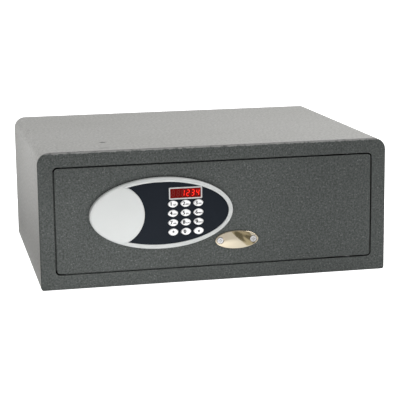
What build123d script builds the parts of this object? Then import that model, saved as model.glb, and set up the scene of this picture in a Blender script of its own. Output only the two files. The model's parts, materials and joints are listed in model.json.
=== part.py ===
from build123d import *

import os
from math import acos, cos, pi, radians, sin, tan

# In-room safe with a flush door, an oval keypad, motor driven bolts and a key override.
# Millimetres. The origin is the centre of the footprint, on the surface that the safe stands on.
# +X is to the right seen from the front, +Y is to the back and +Z is up.
# A pair such as (low, high) is a span along one axis. The rest pose is door shut, bolts drawn back.

# ---- driving dimensions -------------------------------------------------------------------------
CASE_W = 440.0
CASE_H = 170.0
CASE_D = 340.0
TOP_R = 15.0            # bend of the two upper long edges
BASE_R = 3.0            # bend of the two lower long edges
SHEET = 2.0             # wrap, base and back
PLATE = 4.0             # front frame and door
FRAME_EDGE_R = 1.2      # dressed outer edges of the front frame and the back panel
OPENING_EDGE_R = 0.6    # front edge round the opening
DOOR_EDGE_R = 0.7

OPENING_W = 404.0
OPENING_H = 134.0
OPENING_R = 6.0
DOOR_GAP = 1.8
STOP_X = (-190.0, 140.0)
STOP_THICK = 3.0
STOP_LIP = 2.7          # how far a stop's lip reaches behind the door
LIP_STEP = 0.5          # a lip stands this far clear of the back of the door
STRIKE_X = (-216.0, -202.5, -198.0)
STRIKE_Z = (24.0, 146.0)

BOLT_TRAVEL = 15.0
KEY_TRAVEL = 1.2
MODULE = 1.0
PINION_TEETH = 14
PRESSURE_ANGLE = radians(20)
TOOTH_THINNING = 0.12   # taken off each tooth for backlash
RUNNING = 0.05          # radial clearance of a running fit

# ---- places that follow from them ---------------------------------------------------------------
FRONT = -CASE_D / 2
REAR = CASE_D / 2
PLATE_BACK = FRONT + PLATE
MID_Z = CASE_H / 2
DOOR_W = OPENING_W - 2 * DOOR_GAP
DOOR_H = OPENING_H - 2 * DOOR_GAP
DOOR_R = OPENING_R - DOOR_GAP
WELD_FLANGE = 14.0      # returned lower edge of the wrap
BASE_HALF = CASE_W / 2 - WELD_FLANGE

ANCHOR_R = 5.0
ANCHOR_PITCH = 300.0
BASE_ANCHOR_Y = 40.0
BACK_ANCHOR_Z = 110.0
MAT_HOLE_R = 12.0

PIVOT = (172.0, FRONT + 9.0)
PIN_R = 3.0
HINGE_X = (PIVOT[0] - 12, PIVOT[0] + 12)
LUG_Z = (4.0, 17.0)
BLOCK_Z = (20.5, 32.0)

BOLT_R = 9.0
BOLT_Y = PLATE_BACK + 14.0
BOLT_Z = (MID_Z - 30, MID_Z + 30)
BOLT_X = (-195.0, -125.0)
STUB_R = 3.0
CARRIAGE_X = (BOLT_X[1], BOLT_X[1] + 4)
GUIDE_X = (-179.0, -140.3)

PINION_AT = (-92.0, MID_Z)
PITCH_R = MODULE * PINION_TEETH / 2
PINION_Y = (-155.5, -148.8)
SHAFT_R = 2.0
RACK_Y = (-155.0, -149.0)
RACK_PITCH_Z = PINION_AT[1] + PITCH_R
GEARBOX_Y = (-146.7, -125.7)
MOTOR_AT = (-136.2, PINION_AT[1] + 1.0)
MOTOR_R = 10.0
MOTOR_LENGTH = 27.0
MOTOR_HALF_FLATS = 7.5
MOTOR_BOSS = 3.0

OVERRIDE = (25.2, 50.5)
CAM_Y = (-154.5, -151.5)
CAM_REACH = 22.0
BARREL_R = 9.5
PLUG_R = 6.0
COVER_SCREW_PITCH = 42.4

BEZEL_AT = (-69.74, 89.83)
BEZEL_SEMI = (89.65, 44.55)
BEZEL_Y = (FRONT - 6.0, FRONT)
WINDOW_AT = (-70.2, 89.7)
WINDOW_SEMI = (84.9, 39.15)
PAD_AT = (-129.0, 89.9)
PAD_R = 37.9
FASCIA_Y = (FRONT - 4.2, FRONT - 2.2)
KEYPAD_STUDS = ((-112, 104), (-112, 76), (-4, 106), (-4, 74))
KEY_COLUMNS = (-55.8, -39.8, -23.8)
KEY_ROWS = (100.6, 88.85, 77.1, 65.3)
KEY_NAMES = (("1", "2", "3"), ("4", "5", "6"), ("7", "8", "9"), ("star", "0", "hash"))
DISPLAY_AT = (-39.8, 113.7)
DISPLAY_LENS = (38.6, 12.0)
DISPLAY_RIM = 1.5
BOARD_X = (-64.0, -16.0)
BOARD_Z = (60.0, 119.0)
BOARD_Y = (FRONT + 1.1, FRONT + 2.7)
KEYPAD_HOLE_X = (-66.0, -14.0)
KEYPAD_HOLE_Z = (57.0, 123.0)

COVER_X = (-182.0, 148.0)
COVER_Z = (25.0, 145.0)
COVER_BACK = -120.0
COVER_SHEET = 1.2
COVER_POSTS = ((-172, 34), (-172, 136), (139, 34), (139, 136))

BATTERY_X = (64.0, 126.0)
BATTERY_Z = (39.0, 107.0)
BATTERY_Y = (-142.0, COVER_BACK - COVER_SHEET - 0.2)
BATTERY_WALL = 1.6
BATTERY_MID_X = (BATTERY_X[0] + BATTERY_X[1]) / 2
CELL_R = 7.1
CELL_LENGTH = 50.0
CELL_PITCH = 16.0
HATCH_X = (68.0, 122.0)
HATCH_Z = (42.0, 104.0)

CONTROL_X = (-12.0, 58.0)
CONTROL_Z = (78.0, 132.0)
CONTROL_Y = (-140.0, -138.4)
CONTROL_POSTS = ((-8, 84), (-8, 128), (54, 84), (54, 128))
RESET_AT = (30.0, 118.0)
RESET_Y = (COVER_BACK - COVER_SHEET - 2.2, COVER_BACK + 1.8)


# ---- helpers ------------------------------------------------------------------------------------
def box(x, y, z):
    """A block between the low and high limits given for each axis."""
    centre = [(low + high) / 2 for low, high in (x, y, z)]
    return Pos(*centre) * Box(x[1] - x[0], y[1] - y[0], z[1] - z[0])


def rod(axis, at, radius, span):
    """A round bar along one axis; at is its place on the other two axes, in X, Y, Z order."""
    middle = (span[0] + span[1]) / 2
    bar = Cylinder(radius, span[1] - span[0])
    if axis == "X":
        return Pos(middle, *at) * Rot(Y=90) * bar
    if axis == "Y":
        return Pos(at[0], middle, at[1]) * Rot(X=90) * bar
    return Pos(*at, middle) * bar


def slab(outline, y):
    """An outline drawn in front view (X right, Z up), made solid between two depths."""
    plane = Plane(origin=(0, y[1], 0), x_dir=(1, 0, 0), z_dir=(0, -1, 0))
    return extrude(plane * outline, amount=y[1] - y[0])


def flipped(shape):
    """The same shape turned over about the safe's middle height."""
    return mirror(shape, about=Plane(origin=(0, 0, MID_Z), z_dir=(0, 0, 1)))


def front_edges(shape):
    """The edges round the foremost flat face."""
    return shape.faces().sort_by(Axis.Y)[0].outer_wire().edges()


def group(shapes):
    """Several separate solids of one node."""
    return Compound(children=list(shapes))


def nut(at, across_flats, hole_r, y):
    """A hexagon nut with its axis along Y."""
    return slab(Pos(*at) * (RegularPolygon(across_flats / 2, 6, major_radius=False) - Circle(hole_r)), y)


# ---- case ---------------------------------------------------------------------------------------
def case_outline(inset=0.0):
    """The case in front view, drawn in by inset all round."""
    sheet = Pos(0, MID_Z) * Rectangle(CASE_W - 2 * inset, CASE_H - 2 * inset)
    sheet = fillet(sheet.vertices().group_by(Axis.Y)[-1], TOP_R - inset)
    return fillet(sheet.vertices().group_by(Axis.Y)[0], BASE_R - inset)


def front_frame():
    opening = Pos(0, MID_Z) * RectangleRounded(OPENING_W, OPENING_H, OPENING_R)
    frame = slab(case_outline() - opening, (FRONT, PLATE_BACK))
    frame = fillet(front_edges(frame), FRAME_EDGE_R)
    mouth = frame.faces().sort_by(Axis.Y)[0].inner_wires()[0]
    return fillet(mouth.edges(), OPENING_EDGE_R)


def body_wrap():
    mouth = Pos(0, SHEET / 2) * Rectangle(2 * BASE_HALF, 2 * SHEET)
    return slab(case_outline() - case_outline(SHEET) - mouth, (PLATE_BACK, REAR - SHEET))


def base_plate():
    plate = box((-BASE_HALF, BASE_HALF), (PLATE_BACK, REAR - SHEET), (0, SHEET))
    for x in (-ANCHOR_PITCH / 2, ANCHOR_PITCH / 2):
        plate -= rod("Z", (x, BASE_ANCHOR_Y), ANCHOR_R, (0, SHEET))
    return plate


def back_panel():
    holes = [Pos(x, BACK_ANCHOR_Z) * Circle(ANCHOR_R) for x in (-ANCHOR_PITCH / 2, ANCHOR_PITCH / 2)]
    panel = slab(case_outline() - holes, (REAR - SHEET, REAR))
    rear = panel.faces().sort_by(Axis.Y)[-1].outer_wire()
    return fillet(rear.edges(), FRAME_EDGE_R)


def door_stops():
    """Strips behind the frame above and below the door, each with a lip that the door shuts against."""
    edge = MID_Z - OPENING_H / 2 - LIP_STEP
    top = MID_Z - DOOR_H / 2 + STOP_LIP
    strip = box(STOP_X, (PLATE_BACK, PLATE_BACK + STOP_THICK), (2 * SHEET, edge))
    lip = box(STOP_X, (PLATE_BACK + LIP_STEP, PLATE_BACK + STOP_THICK), (edge, top))
    lower = strip + lip
    return group([lower, flipped(lower)])


def bolt_strike():
    """Strip behind the frame's left side that the bolts slide behind."""
    outer, edge, tip = STRIKE_X
    strip = box((outer, edge), (PLATE_BACK, PLATE_BACK + STOP_THICK), STRIKE_Z)
    lip = box((edge, tip), (PLATE_BACK + LIP_STEP, PLATE_BACK + STOP_THICK), STRIKE_Z)
    return strip + lip


def hinge_lugs():
    lug = box(HINGE_X, (PLATE_BACK, PLATE_BACK + 14), LUG_Z)
    rear_corners = lug.edges().filter_by(Axis.Z).group_by(Axis.Y)[-1]
    lug = fillet(rear_corners, 5) - rod("Z", PIVOT, PIN_R, LUG_Z)
    return group([lug, flipped(lug)])


def hinge_pins():
    pin = chamfer(rod("Z", PIVOT, PIN_R, (LUG_Z[0], BLOCK_Z[1] - 1)).edges(), 0.4)
    return group([pin, flipped(pin)])


def thrust_washer():
    """Carries the door's weight on the lower lug."""
    span = (LUG_Z[1], BLOCK_Z[0] - 0.1)
    return rod("Z", PIVOT, 4.7, span) - rod("Z", PIVOT, PIN_R + RUNNING, span)


def floor_mat():
    mat = box((-212, 212), (-148, REAR - SHEET - 2), (SHEET, SHEET + 3))
    mat = fillet(mat.edges().filter_by(Axis.Z), 6)
    for x in (-ANCHOR_PITCH / 2, ANCHOR_PITCH / 2):
        mat -= rod("Z", (x, BASE_ANCHOR_Y), MAT_HOLE_R, (SHEET, SHEET + 3))
    return mat


# ---- door ---------------------------------------------------------------------------------------
def cover_screw_places():
    """The two screws of the override cover, left and right of the lock."""
    return [(OVERRIDE[0] + side * COVER_SCREW_PITCH / 2, OVERRIDE[1]) for side in (-1, 1)]


def door_plate():
    outline = Pos(0, MID_Z) * RectangleRounded(DOOR_W, DOOR_H, DOOR_R)
    plate = slab(outline, (FRONT, PLATE_BACK))
    plate = fillet(front_edges(plate), DOOR_EDGE_R)
    plate -= box(KEYPAD_HOLE_X, (FRONT, PLATE_BACK), KEYPAD_HOLE_Z)
    for at in KEYPAD_STUDS:
        plate -= rod("Y", at, 2.2, (FRONT, PLATE_BACK))
    for at in cover_screw_places():
        plate -= rod("Y", at, 2.0 + RUNNING, (FRONT, PLATE_BACK))
    plate -= rod("Y", OVERRIDE, BARREL_R + 0.1, (FRONT, PLATE_BACK))
    return plate - rod("Y", OVERRIDE, BARREL_R + 1.5, (FRONT, FRONT + 1))


def door_hinge_blocks():
    block = box(HINGE_X, (PLATE_BACK, PLATE_BACK + 13), BLOCK_Z)
    rear_corners = block.edges().filter_by(Axis.Z).group_by(Axis.Y)[-1]
    block = fillet(rear_corners, 5) - rod("Z", PIVOT, PIN_R + RUNNING, BLOCK_Z)
    return group([block, flipped(block)])


def bolt_guide_bracket():
    """A channel on the back of the door; the bolts run through both of its flanges."""
    z = (42, 128)
    base = box(GUIDE_X, (PLATE_BACK, PLATE_BACK + 2), z)
    flanges = [box((x, x + 3), (PLATE_BACK, -141), z) for x in (GUIDE_X[0], GUIDE_X[1] - 3)]
    bracket = base + flanges
    for bolt_z in BOLT_Z:
        bracket -= rod("X", (BOLT_Y, bolt_z), BOLT_R + RUNNING, GUIDE_X)
    return bracket


def motor_bracket():
    """A bridge over the rack that holds the gearbox off the door."""
    x = (PINION_AT[0] - 18, PINION_AT[0] + 18)
    y = (-148.2, GEARBOX_Y[0])
    bridge = box(x, y, (58.5, 111.5)) - rod("Y", PINION_AT, 4, y)
    lower = box(x, (PLATE_BACK, y[1]), (58.5, 60)) + box(x, (PLATE_BACK, PLATE_BACK + 1.5), (47, 60))
    return bridge + lower + flipped(lower)


def gearbox():
    housing = box((PINION_AT[0] - 16, PINION_AT[0] + 16), GEARBOX_Y, (68, 104))
    housing = fillet(housing.edges().filter_by(Axis.Y), 3)
    return housing - rod("Y", PINION_AT, SHAFT_R + RUNNING, (GEARBOX_Y[0], GEARBOX_Y[0] + 7))


def lock_motor():
    """A small motor lying along X against the gearbox, with a flat each side and an end boss."""
    start = PINION_AT[0] + 16
    end = start + MOTOR_LENGTH
    y, z = MOTOR_AT
    can = rod("X", MOTOR_AT, MOTOR_R, (start, end))
    can &= box((start, end), (y - MOTOR_R, y + MOTOR_R), (z - MOTOR_HALF_FLATS, z + MOTOR_HALF_FLATS))
    return can + rod("X", MOTOR_AT, 4, (end, end + MOTOR_BOSS))


# ---- bolts and their drive ----------------------------------------------------------------------
def bolts():
    def bolt(z):
        body = rod("X", (BOLT_Y, z), BOLT_R, BOLT_X)
        body = chamfer(body.edges().group_by(Axis.X)[0], 1.5)
        return body + rod("X", (BOLT_Y, z), STUB_R, (BOLT_X[1], BOLT_X[1] + 10))

    return group(bolt(z) for z in BOLT_Z)


def bolt_carriage():
    """The plate that joins the bolts."""
    plate = box(CARRIAGE_X, (-163, -141), (44, 126))
    plate = fillet(plate.edges().filter_by(Axis.X), 3)
    for z in BOLT_Z:
        plate -= rod("X", (BOLT_Y, z), STUB_R, CARRIAGE_X)
    return plate


def bolt_nuts():
    def one(z):
        plane = Plane(origin=(CARRIAGE_X[1], BOLT_Y, z), x_dir=(0, 1, 0), z_dir=(1, 0, 0))
        hexagon = RegularPolygon(5, 6, major_radius=False) - Circle(STUB_R)
        return extrude(plane * hexagon, amount=5)

    return group(one(z) for z in BOLT_Z)


def bolt_rack():
    """A bar on the carriage with teeth on its lower edge, in mesh with the pinion."""
    addendum = 0.8 * MODULE
    dedendum = 1.25 * MODULE
    pitch = pi * MODULE
    teeth = 11
    first = PINION_AT[0] - 3.5 * pitch
    bar = box((CARRIAGE_X[1], first + teeth * pitch), RACK_Y, (RACK_PITCH_Z + dedendum, 100))
    half = (pitch / 2 - TOOTH_THINNING) / 2
    for number in range(teeth):
        x = first + number * pitch
        root = half + dedendum * tan(PRESSURE_ANGLE)
        tip = half - addendum * tan(PRESSURE_ANGLE)
        corners = [(x - root, RACK_PITCH_Z + dedendum), (x - tip, RACK_PITCH_Z - addendum),
                   (x + tip, RACK_PITCH_Z - addendum), (x + root, RACK_PITCH_Z + dedendum)]
        bar += slab(make_face(Polyline(*corners, close=True)), RACK_Y)
    return bar


def override_link():
    """A flat bar on the carriage with a hook that the override cam pulls."""
    hook_x = OVERRIDE[0] + CAM_REACH + 0.3
    bar = box((CARRIAGE_X[1], hook_x + 4), CAM_Y, (64, 72))
    return bar + box((hook_x, hook_x + 4), CAM_Y, (44, 64))


def involute(angle):
    return tan(angle) - angle


def pinion():
    """An involute spur gear with one tooth straight up, into a gap of the rack."""
    base = PITCH_R * cos(PRESSURE_ANGLE)
    tip = PITCH_R + MODULE
    root = PITCH_R - 1.25 * MODULE
    half = (pi * MODULE / 2 - TOOTH_THINNING) / 2 / PITCH_R + involute(PRESSURE_ANGLE)
    steps = 6
    flank = [(root, half)]
    for step in range(steps + 1):
        radius = base + (tip - base) * step / steps
        flank.append((radius, half - involute(acos(min(1, base / radius)))))
    points = []
    for tooth in range(PINION_TEETH):
        middle = pi / 2 - 2 * pi * tooth / PINION_TEETH
        rising = [(radius, middle + angle) for radius, angle in flank]
        falling = [(radius, middle - angle) for radius, angle in reversed(flank)]
        points += [(radius * cos(angle), radius * sin(angle)) for radius, angle in rising + falling]
    gear = make_face(Polyline(*points, close=True)) - Circle(SHAFT_R)
    return slab(Pos(*PINION_AT) * gear, PINION_Y)


def output_shaft():
    return chamfer(rod("Y", PINION_AT, SHAFT_R, (PINION_Y[0] - 0.5, GEARBOX_Y[0] + 6)).edges(), 0.3)


# ---- override lock ------------------------------------------------------------------------------
def override_barrel():
    front = FRONT + 0.1
    barrel = rod("Y", OVERRIDE, BARREL_R, (front, CAM_Y[0] - 0.5))
    barrel += rod("Y", OVERRIDE, BARREL_R + 1.4, (front, FRONT + 1))
    return barrel - rod("Y", OVERRIDE, PLUG_R + RUNNING, (front, CAM_Y[0]))


def override_nut():
    return nut(OVERRIDE, 24, BARREL_R, (PLATE_BACK, PLATE_BACK + 4.5))


def override_plug():
    plug = rod("Y", OVERRIDE, PLUG_R, (FRONT + 0.3, CAM_Y[0] - 0.2))
    plug += rod("Y", OVERRIDE, 4, (CAM_Y[0] - 0.2, CAM_Y[1] + 0.5))
    keyway = Pos(*OVERRIDE) * (SlotOverall(9, 1.4) + Rectangle(1.2, 4))
    return plug - slab(keyway, (FRONT + 0.3, FRONT + 9))


def override_cam():
    """Points down at rest; a quarter turn to the right pulls the link's hook."""
    hub = Circle(6.5)
    arm_r = 5.0
    arm = Pos(0, -(CAM_REACH - arm_r) / 2) * Rectangle(2 * arm_r, CAM_REACH - arm_r)
    tip = Pos(0, -(CAM_REACH - arm_r)) * Circle(arm_r)
    return slab(Pos(*OVERRIDE) * (hub + arm + tip - Circle(4)), CAM_Y)


def override_cover():
    """The oval plate over the override lock, with a pocket for each screw head."""
    plate = slab(Pos(*OVERRIDE) * Ellipse(27.75, 11.6), (FRONT - 2.6, FRONT))
    plate = fillet(front_edges(plate), 0.9)
    for at in cover_screw_places():
        plate -= rod("Y", at, 4.6, (FRONT - 2.6, FRONT - 1))
        plate -= rod("Y", at, 2.1, (FRONT - 1, FRONT))
    return plate


def override_cover_screws():
    def screw(at):
        head = fillet(front_edges(rod("Y", at, 4.2, (FRONT - 2.5, FRONT - 1))), 0.5)
        cross = Pos(*at) * (Rectangle(4.6, 0.9) + Rectangle(0.9, 4.6))
        return head + rod("Y", at, 2.0, (FRONT - 1, PLATE_BACK + 2)) - slab(cross, (FRONT - 2.5, FRONT - 1.6))

    return group(screw(at) for at in cover_screw_places())


# ---- keypad -------------------------------------------------------------------------------------
def window_outline(inset=0.0):
    """The dark window: an ellipse with a round bite on the left, where the pad is."""
    ellipse = Ellipse(WINDOW_SEMI[0] - inset, WINDOW_SEMI[1] - inset)
    return Pos(*WINDOW_AT) * ellipse - Pos(*PAD_AT) * Circle(PAD_R + inset)


def keypad_bezel():
    """Moulded rim and pad in one, on two studs; a ledge holds the fascia."""
    body = slab(Pos(*BEZEL_AT) * Ellipse(*BEZEL_SEMI), BEZEL_Y)
    body = fillet(front_edges(body), 2.2)
    body -= slab(window_outline(), (BEZEL_Y[0], FASCIA_Y[1]))
    body -= slab(window_outline(1.5), (FASCIA_Y[1], BEZEL_Y[1]))
    under_pad = Pos(*WINDOW_AT) * Ellipse(WINDOW_SEMI[0] - 2, WINDOW_SEMI[1] - 2)
    pocket = slab(under_pad & Pos(*PAD_AT) * Circle(PAD_R - 4), (BEZEL_Y[0] + 2, BEZEL_Y[1]))
    for at in KEYPAD_STUDS[:2]:
        pocket -= rod("Y", at, 3.5, (BEZEL_Y[0] + 2, BEZEL_Y[1]))
    body -= pocket
    for at in KEYPAD_STUDS[:2]:
        body += rod("Y", at, 2.0, (BEZEL_Y[1] - 1, PLATE_BACK + 4.5))
    return body


def key_outline(grown=0.0):
    """A pointed oval, grown all round: two wide arcs whose meeting points are rounded."""
    arc_r = 7.3 + grown
    shift = 2.95
    lens = Pos(0, -shift) * Circle(arc_r) & Pos(0, shift) * Circle(arc_r)
    return fillet(lens.vertices(), 2.0 + grown)


def key_places():
    """The name and place of each key, row by row."""
    for z, names in zip(KEY_ROWS, KEY_NAMES):
        for x, name in zip(KEY_COLUMNS, names):
            yield "key_" + name, (x, z)


def boss_places():
    """The four bosses between the keys that the keypad board sits on."""
    columns = [(KEY_COLUMNS[i] + KEY_COLUMNS[i + 1]) / 2 for i in (0, 1)]
    rows = [(KEY_ROWS[i] + KEY_ROWS[i + 1]) / 2 for i in (0, 2)]
    return [(x, z) for x in columns for z in rows]


def keypad_fascia():
    outline = window_outline(0.1) - Pos(*DISPLAY_AT) * Rectangle(*DISPLAY_LENS)
    fascia = slab(outline, FASCIA_Y)
    hole = key_outline(0.2)
    for _, at in key_places():
        fascia -= slab(Pos(*at) * hole, FASCIA_Y)
    for at in boss_places():
        fascia += rod("Y", at, 1.5, (FASCIA_Y[1], BOARD_Y[0]))
    for at in KEYPAD_STUDS[2:]:
        fascia += rod("Y", at, 2.0, (FASCIA_Y[1], PLATE_BACK + 4.5))
    return fascia


def key(at):
    """One key cap with a lip that keeps it behind the fascia."""
    cap = slab(Pos(*at) * key_outline(), (FRONT - 5.6, FASCIA_Y[1]))
    cap = fillet(front_edges(cap), 0.8)
    lip = slab(Pos(*at) * key_outline(0.7), (FASCIA_Y[1], FASCIA_Y[1] + 0.8))
    return cap + lip


def key_mat():
    """Silicone sheet with a low dome under each key."""
    back = BOARD_Y[0]
    mat = box((BOARD_X[0] + 0.5, BOARD_X[1] - 0.5), (back - 0.5, back), (BOARD_Z[0] + 0.5, 105.5))
    for _, at in key_places():
        mat += rod("Y", at, 3.5, (back - 1.0, back - 0.5))
    for at in boss_places():
        mat -= rod("Y", at, 1.8, (back - 0.5, back))
    return mat


def keypad_board():
    return box(BOARD_X, BOARD_Y, BOARD_Z)


def keypad_nuts():
    return group(nut(at, 7, 2.0, (PLATE_BACK, PLATE_BACK + 3.2)) for at in KEYPAD_STUDS)


def display_frame():
    """Raised rim round the display, DISPLAY_RIM wide."""
    lens_w, lens_h = DISPLAY_LENS
    outside = RectangleRounded(lens_w + 2 * DISPLAY_RIM, lens_h + 2 * DISPLAY_RIM, 1.4)
    ring = outside - RectangleRounded(lens_w, lens_h, 0.8)
    return slab(Pos(*DISPLAY_AT) * ring, (FASCIA_Y[0] - 0.9, FASCIA_Y[0]))


def display_window():
    lens = RectangleRounded(DISPLAY_LENS[0] - 0.1, DISPLAY_LENS[1] - 0.1, 0.8)
    return slab(Pos(*DISPLAY_AT) * lens, (FASCIA_Y[0] - 0.3, FASCIA_Y[1] - 0.1))


def display_module():
    return slab(Pos(*DISPLAY_AT) * Rectangle(37.4, 10.4), (FASCIA_Y[1], BOARD_Y[0]))


# ---- inside the door ----------------------------------------------------------------------------
def mechanism_cover():
    """Folded steel tray over the mechanism, with a battery hatch and a reset hole."""
    tray = box(COVER_X, (PLATE_BACK, COVER_BACK), COVER_Z)
    outer = tray.edges().filter_by(Axis.Y) + tray.edges().group_by(Axis.Y)[-1]
    tray = fillet(outer, 1.5)
    inner_x = (COVER_X[0] + COVER_SHEET, COVER_X[1] - COVER_SHEET)
    inner_z = (COVER_Z[0] + COVER_SHEET, COVER_Z[1] - COVER_SHEET)
    tray -= box(inner_x, (PLATE_BACK, COVER_BACK - COVER_SHEET), inner_z)
    tray -= box(HATCH_X, (COVER_BACK - COVER_SHEET, COVER_BACK), HATCH_Z)
    tray -= rod("Y", RESET_AT, 3.7, (COVER_BACK - COVER_SHEET, COVER_BACK))
    for at in COVER_POSTS:
        tray -= rod("Y", at, 2.1, (COVER_BACK - COVER_SHEET, COVER_BACK))
    for z in BOLT_Z:
        tray -= rod("X", (BOLT_Y, z), BOLT_R + 1, (COVER_X[0], inner_x[0]))
    return tray


def standoffs():
    """Four long posts for the cover and four short ones for the control board."""
    def post(at, radius, y, hole_depth):
        return rod("Y", at, radius, y) - rod("Y", at, radius / 2, (y[1] - hole_depth, y[1]))

    long = [post(at, 4, (PLATE_BACK, COVER_BACK - COVER_SHEET), 10) for at in COVER_POSTS]
    short = [post(at, 3, (PLATE_BACK, CONTROL_Y[0]), 6) for at in CONTROL_POSTS]
    return group(long + short)


def mechanism_screws():
    def screw(at):
        head = rod("Y", at, 3.8, (COVER_BACK, COVER_BACK + 2.2))
        head = fillet(head.edges().group_by(Axis.Y)[-1], 0.9)
        slot = slab(Pos(*at) * (Rectangle(4.4, 0.9) + Rectangle(0.9, 4.4)), (COVER_BACK + 1.2, COVER_BACK + 3))
        return head + rod("Y", at, 2.0, (COVER_BACK - 8, COVER_BACK)) - slot

    return group(screw(at) for at in COVER_POSTS)


def battery_box():
    """Open tray for four cells, with a rib between neighbours."""
    tray = box(BATTERY_X, BATTERY_Y, BATTERY_Z)
    cavity_x = (BATTERY_MID_X - CELL_LENGTH / 2 - 0.2, BATTERY_MID_X + CELL_LENGTH / 2 + 0.2)
    floor_y = BATTERY_Y[0] + BATTERY_WALL
    tray -= box(cavity_x, (floor_y, BATTERY_Y[1]), (BATTERY_Z[0] + BATTERY_WALL, BATTERY_Z[1] - BATTERY_WALL))
    for z in cell_heights()[:-1]:
        middle = z + CELL_PITCH / 2
        tray += box(cavity_x, (floor_y, floor_y + 8), (middle - 0.6, middle + 0.6))
    return tray


def cell_heights():
    middle = (BATTERY_Z[0] + BATTERY_Z[1]) / 2
    return [middle + CELL_PITCH * (number - 1.5) for number in range(4)]


def battery_cells():
    def cell(z, turned):
        y = BATTERY_Y[0] + BATTERY_WALL + CELL_R + 0.1
        low = BATTERY_MID_X - CELL_LENGTH / 2
        body = (low, low + CELL_LENGTH - 1.2) if turned else (low + 1.2, low + CELL_LENGTH)
        tip = (body[1], body[1] + 1.2) if turned else (low, body[0])
        can = fillet(rod("X", (y, z), CELL_R, body).edges(), 0.5)
        return can + rod("X", (y, z), 2.7, tip)

    return group(cell(z, number % 2) for number, z in enumerate(cell_heights()))


def battery_lid():
    """Flat lid with a lip that presses into the cover's hatch and a finger groove."""
    x = (HATCH_X[0] - 2, HATCH_X[1] + 2)
    z = (HATCH_Z[0] - 2, HATCH_Z[1] + 2)
    lid = box(x, (COVER_BACK, COVER_BACK + 2), z)
    lid = fillet(lid.edges().group_by(Axis.Y)[-1], 0.8)
    lid += box((HATCH_X[0] + 0.3, HATCH_X[1] - 0.3), (COVER_BACK - COVER_SHEET, COVER_BACK),
               (HATCH_Z[0] + 0.3, HATCH_Z[1] - 0.3))
    groove = Pos((x[0] + x[1]) / 2, z[1] - 9) * SlotOverall(22, 6)
    return lid - slab(groove, (COVER_BACK + 1, COVER_BACK + 2))


def control_board():
    """Circuit board with its parts soldered on: chip, buzzer, connector and the reset switch."""
    front, back = CONTROL_Y
    board = box(CONTROL_X, CONTROL_Y, CONTROL_Z)
    for at in CONTROL_POSTS:
        board -= rod("Y", at, 1.6, CONTROL_Y)
    board += box((0, 14), (back, back + 2), (96, 110))
    board += rod("Y", (42, 98), 6, (back, back + 7))
    board += box((-6, 4), (back, back + 6), (116, 124))
    return board + rod("Y", RESET_AT, 3, (back, RESET_Y[0] - KEY_TRAVEL - 0.1))


def reset_button():
    """Button in the cover's hole, with a collar that keeps it from falling out."""
    collar = rod("Y", RESET_AT, 5, (RESET_Y[0], RESET_Y[0] + 1.8))
    stem = rod("Y", RESET_AT, 3.5, RESET_Y)
    return collar + fillet(stem.edges().group_by(Axis.Y)[-1], 0.6)


# ---- leads --------------------------------------------------------------------------------------
def lead(name, points, radius):
    """A round lead: straight runs joined by arcs as large as the runs allow."""
    spots = [Vector(*point) for point in points]
    runs = [after - before for before, after in zip(spots, spots[1:])]
    radii = []
    for before, after in zip(runs, runs[1:]):
        turn = radians(before.get_angle(after))
        radii.append(0.45 * min(before.length, after.length) / tan(turn / 2))
    print(name, "arc radii", [round(value, 1) for value in radii])
    path = FilletPolyline(*spots, radius=radii)
    return sweep(Plane(origin=spots[0], z_dir=runs[0]) * Circle(radius), path=path)


def motor_lead():
    """From the motor's end boss to the control board's left edge."""
    height = CONTROL_Y[0] + 0.8
    y, z = MOTOR_AT
    start = PINION_AT[0] + 16 + MOTOR_LENGTH + MOTOR_BOSS
    points = [(start, y, z), (start + 7, y, z), (start + 15, y - 1, z + 5), (-22, height, 97),
              (CONTROL_X[0], height, 97)]
    return lead("motor_lead", points, 0.75)


def battery_lead():
    """From the top of the battery box to the control board's right edge."""
    height = CONTROL_Y[0] + 0.8
    points = [(88, -132, BATTERY_Z[1]), (88, -132, 114), (82, -134.5, 120), (74, -137.5, 123),
              (66, height, 124), (CONTROL_X[1], height, 124)]
    return lead("battery_lead", points, 0.75)


def keypad_ribbon():
    """Flat cable from the keypad board, through the door, to the control board."""
    middle = CONTROL_Y[0] + 0.8
    path = FilletPolyline((-30, BOARD_Y[1]), (-30, middle), (CONTROL_X[0], middle), radius=8)
    strip = trace(path, line_width=0.8)
    return Pos(0, 0, 104) * extrude(strip, amount=12)


# ---- files --------------------------------------------------------------------------------------
def main():
    makers = [front_frame, body_wrap, base_plate, back_panel, door_stops, bolt_strike, hinge_lugs,
              hinge_pins, thrust_washer, floor_mat, door_plate, door_hinge_blocks, bolt_guide_bracket,
              motor_bracket, gearbox, lock_motor, bolts, bolt_carriage, bolt_nuts, bolt_rack,
              override_link, pinion, output_shaft, override_barrel, override_nut, override_plug,
              override_cam, override_cover, override_cover_screws, keypad_bezel, keypad_fascia,
              key_mat, keypad_board, keypad_nuts, display_frame, display_window, display_module,
              mechanism_cover, standoffs, mechanism_screws, battery_box, battery_cells, battery_lid,
              control_board, reset_button, motor_lead, battery_lead, keypad_ribbon]
    nodes = {make.__name__: make() for make in makers}
    nodes.update({name: key(at) for name, at in key_places()})
    os.makedirs("parts", exist_ok=True)
    for name, shape in nodes.items():
        export_step(shape, f"parts/{name}.step")


main()
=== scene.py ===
import json
from math import atan2, cos, pi, radians, sin, sqrt

import bmesh
import bpy
from mathutils import Matrix, Vector, noise


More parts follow.
